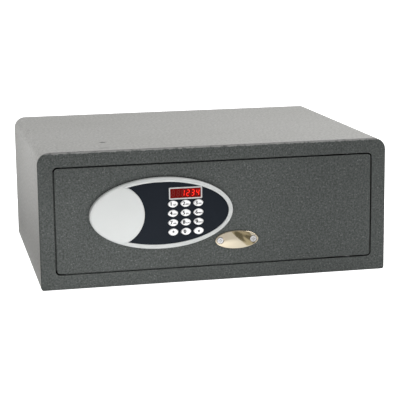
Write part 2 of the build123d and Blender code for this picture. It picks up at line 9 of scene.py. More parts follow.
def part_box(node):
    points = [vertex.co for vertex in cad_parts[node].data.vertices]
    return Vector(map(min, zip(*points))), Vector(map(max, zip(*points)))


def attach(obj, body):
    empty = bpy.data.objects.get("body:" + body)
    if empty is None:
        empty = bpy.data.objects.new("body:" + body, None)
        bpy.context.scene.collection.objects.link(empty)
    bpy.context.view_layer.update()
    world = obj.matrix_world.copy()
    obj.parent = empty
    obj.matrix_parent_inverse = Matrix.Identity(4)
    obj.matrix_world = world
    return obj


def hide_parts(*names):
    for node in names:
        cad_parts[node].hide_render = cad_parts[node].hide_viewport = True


# Looks of an in-room safe. Everything is in metres in the row frame; shapes drawn in front view
# are given as (x, z) in millimetres and turned into metres where the mesh is made.
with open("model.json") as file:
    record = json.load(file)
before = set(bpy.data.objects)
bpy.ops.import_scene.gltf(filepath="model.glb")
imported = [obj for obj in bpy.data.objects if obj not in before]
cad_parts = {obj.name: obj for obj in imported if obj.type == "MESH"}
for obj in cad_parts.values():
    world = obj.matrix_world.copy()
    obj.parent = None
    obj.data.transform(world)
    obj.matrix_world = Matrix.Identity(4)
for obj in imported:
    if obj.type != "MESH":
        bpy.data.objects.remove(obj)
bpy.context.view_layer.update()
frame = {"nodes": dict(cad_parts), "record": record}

MM = 0.001
scene = bpy.context.scene


# ---- material nodes -----------------------------------------------------------------------------
def new_material(name):
    """A fresh material under this name, in place of the plain one the CAD nodes arrive with."""
    plain = bpy.data.materials.get(name)
    if plain is not None:
        bpy.data.materials.remove(plain)
    material = bpy.data.materials.new(name)
    material.use_nodes = True
    return material.node_tree, material.node_tree.nodes["Principled BSDF"]


def link(tree, source, target):
    tree.links.new(source, target)


def node(tree, kind, inputs=None, **settings):
    """A new node; each input is given a value, or is linked if a socket is given."""
    made = tree.nodes.new(kind)
    for key, value in settings.items():
        setattr(made, key, value)
    for socket, value in (inputs or {}).items():
        if isinstance(value, bpy.types.NodeSocket):
            tree.links.new(value, made.inputs[socket])
        else:
            made.inputs[socket].default_value = value
    return made


def object_place(tree, stretch=None):
    """Object coordinates, in metres of the row frame; stretch squeezes each axis of the pattern."""
    place = node(tree, "ShaderNodeTexCoord").outputs["Object"]
    if stretch is None:
        return place
    return node(tree, "ShaderNodeMapping", {"Vector": place, "Scale": stretch}).outputs[0]


def noise_of(tree, place, scale, detail=2.0, roughness=0.5, distortion=0.0):
    made = node(tree, "ShaderNodeTexNoise", {"Vector": place, "Scale": scale, "Detail": detail,
                                             "Roughness": roughness, "Distortion": distortion})
    return made.outputs["Fac"]


def cells_of(tree, place, scale):
    return node(tree, "ShaderNodeTexVoronoi", {"Vector": place, "Scale": scale}).outputs["Distance"]


def ranged(tree, value, low, high, to_low=0.0, to_high=1.0):
    """The value's stretch from low to high, spread over to_low to to_high and held at both ends."""
    made = node(tree, "ShaderNodeMapRange", {"Value": value, "From Min": low, "From Max": high,
                                             "To Min": to_low, "To Max": to_high})
    return made.outputs["Result"]


def maths(tree, operation, first, second):
    return node(tree, "ShaderNodeMath", {0: first, 1: second}, operation=operation).outputs[0]


def blend(tree, factor, first, second):
    """Colour between first and second; each is a colour or a socket."""
    made = node(tree, "ShaderNodeMix", data_type="RGBA")
    for socket, value in ((0, factor), (6, first), (7, second)):
        if isinstance(value, bpy.types.NodeSocket):
            tree.links.new(value, made.inputs[socket])
        elif socket == 0:
            made.inputs[socket].default_value = value
        else:
            made.inputs[socket].default_value = (*value, 1)
    return made.outputs[2]


def emboss(tree, shader, height, depth, strength=1.0, under=None):
    """Bump from a height between 0 and 1, depth metres deep."""
    inputs = {"Height": height, "Distance": depth, "Strength": strength}
    if under is not None:
        inputs["Normal"] = under
    made = node(tree, "ShaderNodeBump", inputs)
    link(tree, made.outputs["Normal"], shader.inputs["Normal"])
    return made.outputs["Normal"]


def general_finish(name, dark, light, grain, rough, metallic=0.0, bump=0.00003, coat=0.0,
                   stretch=None, specular=0.5):
    """A finish with fine grain over broad cloudiness; the grain is also in its relief."""
    tree, shader = new_material(name)
    place = object_place(tree, stretch)
    fine = noise_of(tree, place, grain, detail=4.0, roughness=0.6)
    cloud = noise_of(tree, object_place(tree), 14.0, detail=3.0)
    both = maths(tree, "ADD", ranged(tree, fine, 0.25, 0.75, 0, 0.6),
                 ranged(tree, cloud, 0.3, 0.7, 0, 0.4))
    link(tree, blend(tree, both, dark, light), shader.inputs["Base Color"])
    link(tree, ranged(tree, both, 0.0, 1.0, *rough), shader.inputs["Roughness"])
    shader.inputs["Metallic"].default_value = metallic
    shader.inputs["Specular IOR Level"].default_value = specular
    if coat:
        shader.inputs["Coat Weight"].default_value = coat
        shader.inputs["Coat Roughness"].default_value = 0.08
    emboss(tree, shader, fine, bump)


def multiplied(tree, first, second):
    """One colour tinted by another."""
    return node(tree, "ShaderNodeMix", {0: 1.0, 6: first, 7: second}, data_type="RGBA",
                blend_type="MULTIPLY").outputs[2]


def spot(tree, centre, half, softness):
    """1 inside an upright ellipse in the plane of the top, 0 outside it."""
    place = node(tree, "ShaderNodeMapping", {"Vector": object_place(tree),
                                             "Location": (-centre[0] / half[0], -centre[1] / half[1], 0),
                                             "Scale": (1 / half[0], 1 / half[1], 0)}).outputs[0]
    away = node(tree, "ShaderNodeVectorMath", {0: place}, operation="LENGTH").outputs["Value"]
    return ranged(tree, away, 1.0, 1.0 - softness)


# ---- camera, floor and light --------------------------------------------------------------------
CAMERA_AT = (-0.36243, -1.77437, 0.42768)
CAMERA_YAW = radians(12.0216)       # towards +X
CAMERA_PITCH = radians(11.1999)     # downwards
CAMERA_ROLL = radians(-0.766)
CAMERA_LENS = 121.74                # on a sensor 36 mm wide


def make_camera():
    """The view from the front left, slightly above the top."""
    forward = Vector((sin(CAMERA_YAW) * cos(CAMERA_PITCH), cos(CAMERA_YAW) * cos(CAMERA_PITCH),
                      -sin(CAMERA_PITCH)))
    level = Vector((cos(CAMERA_YAW), -sin(CAMERA_YAW), 0))
    upright = level.cross(forward)
    right = cos(CAMERA_ROLL) * level + sin(CAMERA_ROLL) * upright
    up = -sin(CAMERA_ROLL) * level + cos(CAMERA_ROLL) * upright
    data = bpy.data.cameras.new("camera")
    data.lens = CAMERA_LENS
    data.sensor_width = 36
    data.clip_start = 0.05
    data.clip_end = 200
    camera = bpy.data.objects.new("camera", data)
    turn = Matrix((right, up, -forward)).transposed().to_4x4()
    camera.matrix_world = Matrix.Translation(CAMERA_AT) @ turn
    scene.collection.objects.link(camera)
    scene.camera = camera


def make_light(name, at, target, size, watts, mirrored):
    """A soft box, size (across, upright), aimed from at towards target.

    Reflections show it only if it is mirrored.
    """
    data = bpy.data.lights.new(name, "AREA")
    data.shape = "RECTANGLE"
    data.size, data.size_y = size
    data.energy = watts
    light = bpy.data.objects.new(name, data)
    light.location = at
    light.rotation_mode = "QUATERNION"
    light.rotation_quaternion = (Vector(target) - Vector(at)).to_track_quat("-Z", "Y")
    light.visible_camera = False
    light.visible_glossy = mirrored
    scene.collection.objects.link(light)


def stage_sheet(name, corners, material):
    """A flat sheet of the set, which isn't part of the object."""
    mesh = bpy.data.meshes.new(name)
    mesh.from_pydata(corners, [], [tuple(range(len(corners)))])
    mesh.materials.append(bpy.data.materials[material])
    made = bpy.data.objects.new(name, mesh)
    scene.collection.objects.link(made)
    return made


SKY_LOW = 0.20                      # brightness of the studio at eye level
SKY_HIGH = 0.80                     # and overhead
FLOOR_HALF = 40.0
FLOOR_DROP = -0.0003                # keeps the floor just clear of the base
FLOOR_LIFT = 0.8                    # burns the floor out to white where the camera sees it
CARD_UP = 0.001                     # height at which the cards lie, just above the floor
BLACK_CARD = ((-0.24, -0.30), (-0.24, 0.30), (-0.70, 0.30), (-0.70, -0.30))     # corners
FLAG = ((0.051, -0.270), (0.054, -0.168), (0.070, -0.178), (0.080, -0.270))     # corners
LIGHTS = (                          # name, place, target, size, watts, mirrored
    ("key", (1.3, -0.35, 1.5), (0.1, 0.0, 0.1), (0.9, 0.9), 28, True),
    ("left_strip", (-0.42, 0.0, 0.17), (-0.22, 0.0, 0.16), (0.5, 0.06), 0.50, True),
    ("low_front", (-0.12, -0.37, 0.03), (-0.10, -0.17, 0.01), (0.34, 0.04), 0.42, False),
    ("low_right", (0.40, -0.29, 0.03), (0.17, -0.17, 0.01), (0.14, 0.04), 0.20, False),
)


def make_studio():
    """White surroundings, brighter overhead than at eye level; the camera sees them pure white."""
    scene.view_settings.view_transform = "Standard"
    world = bpy.data.worlds.new("studio")
    world.use_nodes = True
    tree = world.node_tree
    sky = tree.nodes["Background"]
    sky.inputs["Color"].default_value = (1, 1, 1, 1)
    direction = node(tree, "ShaderNodeTexCoord").outputs["Generated"]
    height = node(tree, "ShaderNodeSeparateXYZ", {0: direction}).outputs[2]
    glow = ranged(tree, height, 0.0, 1.0, SKY_LOW, SKY_HIGH)
    seen = node(tree, "ShaderNodeLightPath").outputs["Is Camera Ray"]
    link(tree, maths(tree, "MAXIMUM", glow, seen), sky.inputs["Strength"])
    scene.world = world


def make_floor():
    """Matte white paper floor."""
    tree, shader = new_material("floor_white")
    shader.inputs["Roughness"].default_value = 0.9
    shader.inputs["Specular IOR Level"].default_value = 0.2
    paper = noise_of(tree, object_place(tree), 3.0)
    link(tree, blend(tree, paper, (0.91, 0.91, 0.91), (0.93, 0.93, 0.93)), shader.inputs["Base Color"])
    shader.inputs["Emission Color"].default_value = (1, 1, 1, 1)
    seen = node(tree, "ShaderNodeLightPath").outputs["Is Camera Ray"]
    link(tree, maths(tree, "MULTIPLY", seen, FLOOR_LIFT), shader.inputs["Emission Strength"])
    stage_sheet("floor", [(x * FLOOR_HALF, y * FLOOR_HALF, FLOOR_DROP)
                          for x, y in ((-1, -1), (1, -1), (1, 1), (-1, 1))], "floor_white")


def make_black_card():
    """A black card lying left of the safe; it takes the floor's light off the foot of that side."""
    tree, shader = new_material("card_black")
    weave = noise_of(tree, object_place(tree), 60.0)
    link(tree, blend(tree, weave, (0.015, 0.015, 0.015), (0.03, 0.03, 0.03)), shader.inputs["Base Color"])
    shader.inputs["Roughness"].default_value = 1.0
    card = stage_sheet("black_card", [(x, y, CARD_UP) for x, y in BLACK_CARD], "card_black")
    card.visible_camera = False
    card.visible_shadow = False


def make_flag():
    """A dark card on the floor before the cover plate, seen only in reflections.

    FLAG is measured from the plate's middle across and from its face.
    """
    tree, shader = new_material("flag_olive")
    tone = noise_of(tree, object_place(tree, (110.0, 14.0, 1.0)), 1.0, detail=1.0)
    link(tree, blend(tree, ranged(tree, tone, 0.42, 0.52), (0.17, 0.155, 0.105), (0.55, 0.51, 0.38)),
         shader.inputs["Base Color"])
    shader.inputs["Roughness"].default_value = 1.0
    low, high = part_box("override_cover")
    middle = (low + high) / 2
    flag = stage_sheet("flag", [(middle.x + x, low.y + y, CARD_UP) for x, y in FLAG], "flag_olive")
    flag.visible_camera = False
    flag.visible_diffuse = False
    flag.visible_shadow = False
    flag.visible_transmission = False


def make_stage():
    make_floor()
    make_studio()
    for light in LIGHTS:
        make_light(*light)
    make_flag()
    make_black_card()


# ---- finishes of the record's slots -------------------------------------------------------------
RUBBED_HIGHLIGHT_FROM = 0.0030                # the dressed weld, worn paint with a painted edge highlight, starts this far below the top edge
SCUFFS = (((-0.1310, -0.1030), (0.0058, 0.0050), 0.90),     # centre, half size and depth of each mark
          ((-0.1356, -0.1490), (0.0085, 0.0030), 0.50))


def front_paint():
    """Graphite hammertone with light flecks; the dressed weld along the top edge is paler and rough, its
    paleness partly worn paint and partly a painted highlight on the edge below the lit top.
    """
    tree, shader = new_material("front_paint")
    place = object_place(tree)
    flecks = noise_of(tree, place, 430.0, detail=2.0, roughness=0.6)
    sparks = noise_of(tree, place, 560.0, detail=1.0)
    pits = cells_of(tree, place, 420.0)
    cloud = noise_of(tree, place, 7.0, detail=3.0)
    base = blend(tree, ranged(tree, flecks, 0.34, 0.68), (0.040, 0.044, 0.042), (0.078, 0.084, 0.081))
    flecked = blend(tree, ranged(tree, sparks, 0.63, 0.76), base, (0.130, 0.136, 0.132))
    toned = multiplied(tree, flecked, blend(tree, ranged(tree, cloud, 0.3, 0.7), (0.92, 0.92, 0.92),
                                            (1.08, 1.08, 1.08)))
    height = node(tree, "ShaderNodeSeparateXYZ", {0: place}).outputs[2]
    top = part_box("front_frame")[1].z
    ragged = noise_of(tree, place, 130.0, detail=4.0, roughness=0.7)
    # paler band along the top edge: worn paint on the dressed weld, and a painted highlight where the edge
    # meets the lit top
    edge = maths(tree, "ADD", ranged(tree, height, top - RUBBED_HIGHLIGHT_FROM, top - 0.4 * RUBBED_HIGHLIGHT_FROM),
                 ranged(tree, ragged, 0.3, 0.7, -0.75, 0.35))
    rubbed_and_highlight = maths(tree, "MULTIPLY", ranged(tree, edge, 0.25, 0.75),
                   ranged(tree, height, top - RUBBED_HIGHLIGHT_FROM, top - 0.8 * RUBBED_HIGHLIGHT_FROM))
    link(tree, blend(tree, rubbed_and_highlight, toned, (0.20, 0.20, 0.195)), shader.inputs["Base Color"])
    link(tree, ranged(tree, flecks, 0.3, 0.7, 0.66, 0.50), shader.inputs["Roughness"])
    shader.inputs["Metallic"].default_value = 0.0
    shader.inputs["Specular IOR Level"].default_value = 0.15
    under = emboss(tree, shader, ranged(tree, pits, 0.0, 0.8), 0.00008, 0.4)
    grain = emboss(tree, shader, flecks, 0.00010, 0.5, under)
    emboss(tree, shader, maths(tree, "MULTIPLY", rubbed_and_highlight, ragged), 0.0006, 0.8, grain)


def case_paint():
    """Light grey powder coat, matte, with fine grain, faint streaks along the case and two scuffs."""
    tree, shader = new_material("case_paint")
    place = object_place(tree)
    grain = noise_of(tree, place, 300.0, detail=3.0, roughness=0.75)
    streaks = noise_of(tree, object_place(tree, (30.0, 240.0, 240.0)), 1.0, detail=3.0, roughness=0.6)
    cloud = noise_of(tree, place, 6.0, detail=4.0)
    base = blend(tree, ranged(tree, grain, 0.3, 0.7), (0.265, 0.263, 0.255), (0.490, 0.487, 0.475))
    drawn = blend(tree, ranged(tree, streaks, 0.3, 0.75), (0.95, 0.95, 0.95), (1.04, 1.04, 1.04))
    tone = blend(tree, ranged(tree, cloud, 0.3, 0.7), (0.96, 0.96, 0.95), (1.03, 1.03, 1.03))
    painted = multiplied(tree, multiplied(tree, base, drawn), tone)
    for centre, half, depth in SCUFFS:
        mark = maths(tree, "MULTIPLY", spot(tree, centre, half, 0.6), depth)
        painted = blend(tree, mark, painted, (0.09, 0.09, 0.09))
    link(tree, painted, shader.inputs["Base Color"])
    link(tree, ranged(tree, grain, 0.3, 0.7, 0.56, 0.72), shader.inputs["Roughness"])
    shader.inputs["Specular IOR Level"].default_value = 0.12
    under = emboss(tree, shader, grain, 0.00006, 0.7)
    emboss(tree, shader, cloud, 0.0012, 0.5, under)


def polished_plate():
    """Polished stainless steel with a faint brushed grain and slow waves in its face."""
    tree, shader = new_material("stainless")
    brushed = noise_of(tree, object_place(tree, (120.0, 900.0, 2600.0)), 1.0, detail=3.0)
    smears = noise_of(tree, object_place(tree), 55.0, detail=3.0, distortion=0.6)
    link(tree, blend(tree, ranged(tree, smears, 0.35, 0.7), (0.50, 0.45, 0.35), (0.48, 0.42, 0.325)),
         shader.inputs["Base Color"])
    link(tree, ranged(tree, brushed, 0.3, 0.7, 0.02, 0.04), shader.inputs["Roughness"])
    shader.inputs["Metallic"].default_value = 1.0
    waves = noise_of(tree, object_place(tree), 40.0, detail=0.0)
    emboss(tree, shader, waves, 0.0004, 0.5)


def felt():
    """Needled felt: tangled short fibres, matte, with sheen."""
    tree, shader = new_material("mat_felt")
    place = object_place(tree)
    fibres = noise_of(tree, place, 1400.0, detail=5.0, roughness=0.8, distortion=2.5)
    tufts = noise_of(tree, place, 160.0, detail=4.0)
    link(tree, blend(tree, ranged(tree, fibres, 0.3, 0.7), (0.020, 0.022, 0.026), (0.085, 0.09, 0.10)),
         shader.inputs["Base Color"])
    link(tree, ranged(tree, tufts, 0.3, 0.7, 0.85, 1.0), shader.inputs["Roughness"])
    shader.inputs["Sheen Weight"].default_value = 0.4
    under = emboss(tree, shader, fibres, 0.0004, 0.8)
    emboss(tree, shader, tufts, 0.0008, 0.6, under)


def circuit_board():
    """Green solder mask with faint straight copper tracks under it."""
    tree, shader = new_material("circuit_board")
    tracks = node(tree, "ShaderNodeTexBrick", {"Vector": object_place(tree), "Scale": 160.0,
                                               "Mortar Size": 0.06}).outputs["Fac"]
    cloud = noise_of(tree, object_place(tree), 60.0)
    mask = blend(tree, ranged(tree, cloud, 0.3, 0.7), (0.012, 0.10, 0.035), (0.018, 0.15, 0.05))
    link(tree, blend(tree, tracks, mask, (0.05, 0.26, 0.09)), shader.inputs["Base Color"])
    link(tree, ranged(tree, cloud, 0.3, 0.7, 0.25, 0.4), shader.inputs["Roughness"])
    emboss(tree, shader, tracks, 0.00003)


def display_lens():
    """Dark red filter over the display, with a painted glow: its emission, a little stronger towards the
    lit digits on its right, stands in for their light in the filter.
    """
    tree, shader = new_material("display_lens")
    low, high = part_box("display_window")
    across = node(tree, "ShaderNodeSeparateXYZ", {0: object_place(tree)}).outputs[0]
    # mask of the painted glow, rising towards the lit digits
    glow = ranged(tree, across, low.x + 0.30 * (high.x - low.x), low.x + 0.62 * (high.x - low.x))
    dust = noise_of(tree, object_place(tree), 300.0, detail=2.0)
    link(tree, blend(tree, ranged(tree, dust, 0.3, 0.7), (0.030, 0.001, 0.001), (0.045, 0.002, 0.002)),
         shader.inputs["Base Color"])
    link(tree, ranged(tree, dust, 0.3, 0.7, 0.12, 0.2), shader.inputs["Roughness"])
    # painted glow: the filter emits dim red though it is no lamp
    link(tree, blend(tree, glow, (0.10, 0.001, 0.001), (0.12, 0.001, 0.001)),
         shader.inputs["Emission Color"])
    shader.inputs["Emission Strength"].default_value = 1.0
    shader.inputs["Specular IOR Level"].default_value = 0.05


def segment_glow(name, surface, glow):
    """A display segment; surface and glow are the pairs of colours that it varies between."""
    tree, shader = new_material(name)
    cloud = noise_of(tree, object_place(tree), 700.0)
    link(tree, blend(tree, cloud, *surface), shader.inputs["Base Color"])
    link(tree, blend(tree, cloud, *glow), shader.inputs["Emission Color"])
    shader.inputs["Emission Strength"].default_value = 1.0
    shader.inputs["Specular IOR Level"].default_value = 0.05


BRUSHED = (300.0, 30.0, 300.0)      # stretch of a grain drawn along Y


def make_materials():
    front_paint()
    case_paint()
    polished_plate()
    felt()
    circuit_board()
    display_lens()
    segment_glow("display_lit", ((0.25, 0.01, 0.01), (0.30, 0.02, 0.01)),
                 ((1.0, 0.012, 0.006), (1.0, 0.022, 0.010)))
    # unlit segments: their faint red emission is a painted glow, since they are not lit
    segment_glow("display_dim", ((0.020, 0.002, 0.002), (0.028, 0.003, 0.003)),
                 ((0.10, 0.012, 0.010), (0.12, 0.016, 0.012)))
    general_finish("zinc_steel", (0.50, 0.51, 0.52), (0.66, 0.67, 0.68), 60, (0.28, 0.42), 1.0)
    general_finish("bright_steel", (0.42, 0.42, 0.43), (0.56, 0.56, 0.57), 1.0, (0.16, 0.28), 1.0,
                   bump=0.00001, stretch=BRUSHED)
    general_finish("dark_steel", (0.16, 0.16, 0.165), (0.26, 0.26, 0.27), 400, (0.38, 0.52), 0.9)
    general_finish("barrel_chrome", (0.70, 0.70, 0.70), (0.80, 0.80, 0.80), 200, (0.08, 0.16), 1.0,
                   bump=0.000005)
    general_finish("bezel_plastic", (0.425, 0.436, 0.430), (0.450, 0.461, 0.455), 1200, (0.42, 0.5),
                   bump=0.00001)
    general_finish("fascia_plastic", (0.0065, 0.0085, 0.012), (0.010, 0.013, 0.018), 1000, (0.32, 0.42),
                   bump=0.000008, specular=0.06)
    general_finish("display_surround", (0.38, 0.375, 0.37), (0.44, 0.435, 0.43), 800, (0.35, 0.45),
                   bump=0.000008, specular=0.3)
    general_finish("display_black", (0.008, 0.008, 0.008), (0.016, 0.016, 0.016), 900, (0.4, 0.5))
    general_finish("silicone", (0.25, 0.26, 0.27), (0.32, 0.33, 0.34), 700, (0.6, 0.75))
    general_finish("grey_lead", (0.28, 0.28, 0.29), (0.36, 0.36, 0.37), 900, (0.45, 0.55))
    general_finish("red_lead", (0.42, 0.015, 0.012), (0.52, 0.025, 0.02), 900, (0.4, 0.5))
    general_finish("gear_plastic", (0.62, 0.60, 0.54), (0.72, 0.70, 0.64), 900, (0.4, 0.5))
    general_finish("motor_can", (0.56, 0.56, 0.57), (0.66, 0.66, 0.67), 1.0, (0.2, 0.32), 1.0,
                   stretch=BRUSHED)
    general_finish("black_plastic", (0.012, 0.012, 0.013), (0.026, 0.026, 0.028), 900, (0.45, 0.6),
                   bump=0.00004)
    general_finish("cell_jacket", (0.55, 0.40, 0.10), (0.66, 0.50, 0.16), 300, (0.25, 0.35), 0.3, coat=0.3)
    general_finish("cover_paint", (0.30, 0.305, 0.31), (0.37, 0.375, 0.38), 800, (0.48, 0.6), bump=0.00006)
    general_finish("reset_red", (0.42, 0.02, 0.02), (0.52, 0.03, 0.03), 900, (0.3, 0.4))
    general_finish("key_plastic", (0.68, 0.68, 0.68), (0.72, 0.72, 0.715), 900, (0.16, 0.26), bump=0.000005,
                   coat=0.2)
    general_finish("legend_ink", (0.004, 0.004, 0.005), (0.008, 0.008, 0.009), 1500, (0.6, 0.7),
                   specular=0.1)


def dress_cad_nodes():
    """Gives every CAD node the finish of its slot in the record."""
    for part in frame["record"]["subparts"]:
        mesh = frame["nodes"][part["node"]].data
        mesh.materials.clear()
        mesh.materials.append(bpy.data.materials[part["material_slot"]])


# ---- mesh making --------------------------------------------------------------------------------
def loft(rings, closed=False):
    """Points and faces over rings of equal length, given in millimetres.

    Closed joins the last ring to the first; otherwise both ends are capped.
    """
    count = len(rings[0])
    points = [Vector(point) * MM for ring in rings for point in ring]
    faces = []
    for number in range(len(rings) if closed else len(rings) - 1):
        here = number * count
        after = (number + 1) % len(rings) * count
        for i in range(count):
            j = (i + 1) % count
            faces.append((here + i, here + j, after + j, after + i))
    if not closed:
        faces.append(tuple(range(count)))
        faces.append(tuple(range((len(rings) - 1) * count, len(rings) * count)))
    return points, faces


def build(name, shells, material, body, crease=35):
    """One object from several closed shells, each a (points, faces) pair."""
    work = bmesh.new()
    for points, faces in shells:
        made = [work.verts.new(point) for point in points]
        for face in faces:
            work.faces.new([made[i] for i in face])
    bmesh.ops.recalc_face_normals(work, faces=work.faces)
    mesh = bpy.data.meshes.new(name)
    work.to_mesh(mesh)
    work.free()
    for polygon in mesh.polygons:
        polygon.use_smooth = True
    mesh.set_sharp_from_angle(angle=radians(crease))
    mesh.materials.append(bpy.data.materials[material])
    made = bpy.data.objects.new(name, mesh)
    scene.collection.objects.link(made)
    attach(made, body)
    return made


def box_mm(name):
    """A CAD node's middle, lowest and highest corners, in millimetres."""
    low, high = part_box(name)
    return (low + high) / 2 / MM, low / MM, high / MM


def circle_ring(centre, radius, y, count):
    """Circle in front view, at depth y."""
    turns = [2 * pi * i / count for i in range(count)]
    return [(centre[0] + radius * cos(turn), y, centre[1] + radius * sin(turn)) for turn in turns]


# ---- keypad bezel -------------------------------------------------------------------------------
RIM_STEPS = 150                     # points round the rim, round the pad, and rings across the face
PAD_STEPS = 60
FACE_STEPS = 10
WINDOW_OFF = (-0.46, -0.13)         # window's ellipse, from the bezel's middle
WINDOW_SEMI = (84.9, 39.15)
PAD_OFF = (-59.26, 0.07)            # pad's circle, from the bezel's middle
PAD_R = 37.9
OUTER_EDGE = ((0, 2.6), (0.1, 1.75), (0.4, 1.1), (0.9, 0.6), (1.6, 0.25), (2.3, 0.08))  # inset, depth
GROOVE = ((2.5, 0.05, 0.05), (2.65, 0.03, 0.32), (2.8, 0.02, 0.05))     # inset, depth, depth of groove
FACE_INSET = 2.9                    # the flat face runs from here on the outline
WINDOW_INSET = -2.2                 # to here on the window's outline
WINDOW_EDGE = ((-2.2, 0.02), (-2.05, 0.07), (-1.2, 0.38), (-0.4, 0.72), (-0.12, 0.95), (0, 1.35))
LEDGE_WIDTH = 1.5                   # the ledge carries the fascia's edge
LEDGE_BEHIND = 2.0                  # and lies this far behind its face
GROOVE_FADE = 0.06                  # share of the pad's arc over which the groove fades out
STUDS = ((-112, 104), (-112, 76))
STUD_R = 2.0
STUD_PROUD = 1.3                    # each stud ends this far beyond its nut


def cusp(inset, start, end):
    """Angle on the window's ellipse, drawn in by inset, where it meets the pad's circle."""
    for _ in range(40):
        middle = (start + end) / 2
        x = WINDOW_OFF[0] + (WINDOW_SEMI[0] - inset) * cos(middle) - PAD_OFF[0]
        z = WINDOW_OFF[1] + (WINDOW_SEMI[1] - inset) * sin(middle) - PAD_OFF[1]
        inside = sqrt(x * x + z * z) < PAD_R + inset
        if inside:
            end = middle
        else:
            start = middle
    return (start + end) / 2


def window_ring(inset):
    """Window outline: along the ellipse from the lower cusp to the upper one, then down the pad's arc."""
    upper = cusp(inset, pi / 2, pi)
    lower = cusp(inset, -pi / 2, -pi)
    ring = []
    for i in range(RIM_STEPS):
        angle = lower + (upper - lower) * i / RIM_STEPS
        ring.append((WINDOW_OFF[0] + (WINDOW_SEMI[0] - inset) * cos(angle),
                     WINDOW_OFF[1] + (WINDOW_SEMI[1] - inset) * sin(angle)))
    ends = []
    for angle in (upper, lower):
        x = WINDOW_OFF[0] + (WINDOW_SEMI[0] - inset) * cos(angle) - PAD_OFF[0]
        z = WINDOW_OFF[1] + (WINDOW_SEMI[1] - inset) * sin(angle) - PAD_OFF[1]
        ends.append(atan2(z, x))
    for i in range(PAD_STEPS):
        angle = ends[0] + (ends[1] - ends[0]) * i / PAD_STEPS
        ring.append((PAD_OFF[0] + (PAD_R + inset) * cos(angle), PAD_OFF[1] + (PAD_R + inset) * sin(angle)))
    return ring


def outer_ring(semi, inset):
    """Bezel outline drawn in by inset, with points opposite those of the window outline."""
    upper = cusp(0, pi / 2, pi)
    lower = cusp(0, -pi / 2, -pi)
    angles = [lower + (upper - lower) * i / RIM_STEPS for i in range(RIM_STEPS)]
    angles += [upper + (lower + 2 * pi - upper) * i / PAD_STEPS for i in range(PAD_STEPS)]
    return [((semi[0] - inset) * cos(angle), (semi[1] - inset) * sin(angle)) for angle in angles]


def groove_share(i):
    """The groove runs round the rim and fades out where the rim meets the pad."""
    if i < RIM_STEPS:
        return 1.0
    along = (i - RIM_STEPS) / PAD_STEPS
    return max(0.0, 1 - min(along, 1 - along) / GROOVE_FADE)


def make_bezel():
    """The bezel as one band of rings, from its back round the rim and the window to its back again."""
    middle, low, high = box_mm("keypad_bezel")
    front = low.y
    back = box_mm("door_plate")[1].y
    ledge = box_mm("keypad_fascia")[1].y + LEDGE_BEHIND
    semi = ((high.x - low.x) / 2, (high.z - low.z) / 2)
    rings = []

    def add(outline, y, groove=0.0):
        rings.append([(middle.x + x, y + groove * groove_share(i), middle.z + z)
                      for i, (x, z) in enumerate(outline)])

    add(outer_ring(semi, 0), back)
    for inset, depth in OUTER_EDGE:
        add(outer_ring(semi, inset), front + depth)
    for inset, depth, groove in GROOVE:
        add(outer_ring(semi, inset), front + depth, groove)
    near = outer_ring(semi, FACE_INSET)
    far = window_ring(WINDOW_INSET)
    for step in range(1, FACE_STEPS):
        share = step / FACE_STEPS
        between = [(a[0] + (b[0] - a[0]) * share, a[1] + (b[1] - a[1]) * share) for a, b in zip(near, far)]
        add(between, front)
    for inset, depth in WINDOW_EDGE:
        add(window_ring(inset), front + depth)
    add(window_ring(0), ledge)
    add(window_ring(LEDGE_WIDTH), ledge)
    add(window_ring(LEDGE_WIDTH), back)
    shells = [loft(rings, closed=True)]
    nut_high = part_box("keypad_nuts")[1]
    for at in STUDS:
        ends = (back - 0.5, nut_high.y / MM + STUD_PROUD)
        shells.append(loft([circle_ring(at, STUD_R, y, 24) for y in ends]))
    bezel = build("keypad_bezel_moulding", shells, "bezel_plastic", "door", crease=30)
    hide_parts("keypad_bezel")


# ---- keys ---------------------------------------------------------------------------------------
KEY_ARC_R = 6.90                    # upper and lower arcs of the pointed oval
KEY_ARC_SHIFT = 2.55                # each has its centre this far across the middle
KEY_TIP_R = 3.0                     # rounding of its two tips
KEY_TIP_STEPS = 8
KEY_ARC_STEPS = 22
KEY_FLANGE = 0.7                    # the flange under the fascia stands out by this
KEY_FLANGE_DEPTH = 0.8
KEY_EDGE = ((0.0, 1.15), (-0.10, 0.80), (-0.32, 0.55))      # growth and depth behind the face
KEY_FACE_GROWN = -0.2
KEY_FACE_SHARES = (0.90, 0.75, 0.6, 0.45, 0.3, 0.15, 0.04)  # rings of the crowned face
KEY_CROWN = 0.22                    # how far the crown falls off at the oval's edge
KEY_HALF = (6.4, 4.35)

KEY_LEGENDS = {"1": "QZ", "2": "ABC", "3": "DEF", "4": "GHI", "5": "JKL", "6": "MNO", "7": "PRS",
               "8": "TUV", "9": "WXY", "0": "", "star": "", "hash": ""}
KEY_SIGNS = {"star": ("*", 6.6, 0.0, -0.7), "hash": ("#", 4.3, 0.0, 0.0)}   # text, size and place
DIGIT_SIZE = 6.4
DIGIT_X = -2.5                      # beside letters
LONE_DIGIT_X = -1.6
DIGIT_Z = 0.1
LETTERS_SIZE = 2.4
LETTERS_AT = (1.9, -0.85)
LEGEND_PROUD = 0.12
LEGEND_SUNK = 0.05
LEGEND_SHIFTS = (-0.050, 0.0, 0.050)    # copies side by side make the strokes bold, as a share of size
LEGEND_STEP = 0.004                 # each copy stands prouder by this, so that no faces coincide


